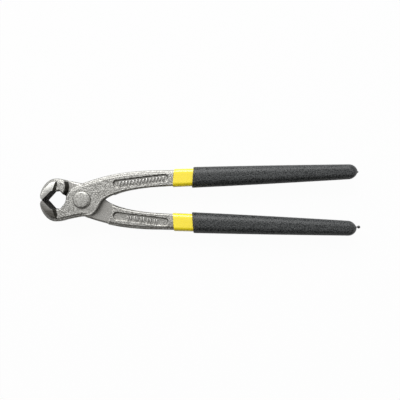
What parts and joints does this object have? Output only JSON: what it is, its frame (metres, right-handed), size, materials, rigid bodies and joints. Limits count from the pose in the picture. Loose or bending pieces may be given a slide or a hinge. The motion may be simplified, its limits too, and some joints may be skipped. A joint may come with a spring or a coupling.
{
  "type": "concreters nippers",
  "caption": "End-cutting nippers with wide curved jaws, a riveted lap joint and long dip-coated handles with a bright undercoat band and dark textured grips.",
  "frame": {"origin": "on the pivot axis, on the flat face of the rear rivet head, which is the face that the tool rests on", "axes": "+X from the pivot to the handles, so the jaws point to -X; +Z along the pivot from the rear face to the front face; +Y across the tool, towards the front lever's handle"},
  "size_m": [0.225, 0.0506, 0.016],
  "materials": {
    "forged_steel": "drop forged and blasted, ground at the jaws and the lap faces",
    "rivet_steel": "satin",
    "yellow_undercoat": "glossy dip coat",
    "black_grip": "rough dip coat with a fine grain"
  },
  "bodies": {
    "rear_half": {"rear_lever": "forged_steel", "rear_undercoat": "yellow_undercoat", "rear_grip": "black_grip", "pivot_rivet": "rivet_steel"},
    "front_half": {"front_lever": "forged_steel", "front_undercoat": "yellow_undercoat", "front_grip": "black_grip"}
  },
  "joints": [
    {"name": "jaw_pivot", "type": "hinge", "parent": "rear_half", "child": "front_half", "pos_m": [0, 0, 0.008], "axis": [0, 0, 1], "range_deg": [0, 50]}
  ]
}
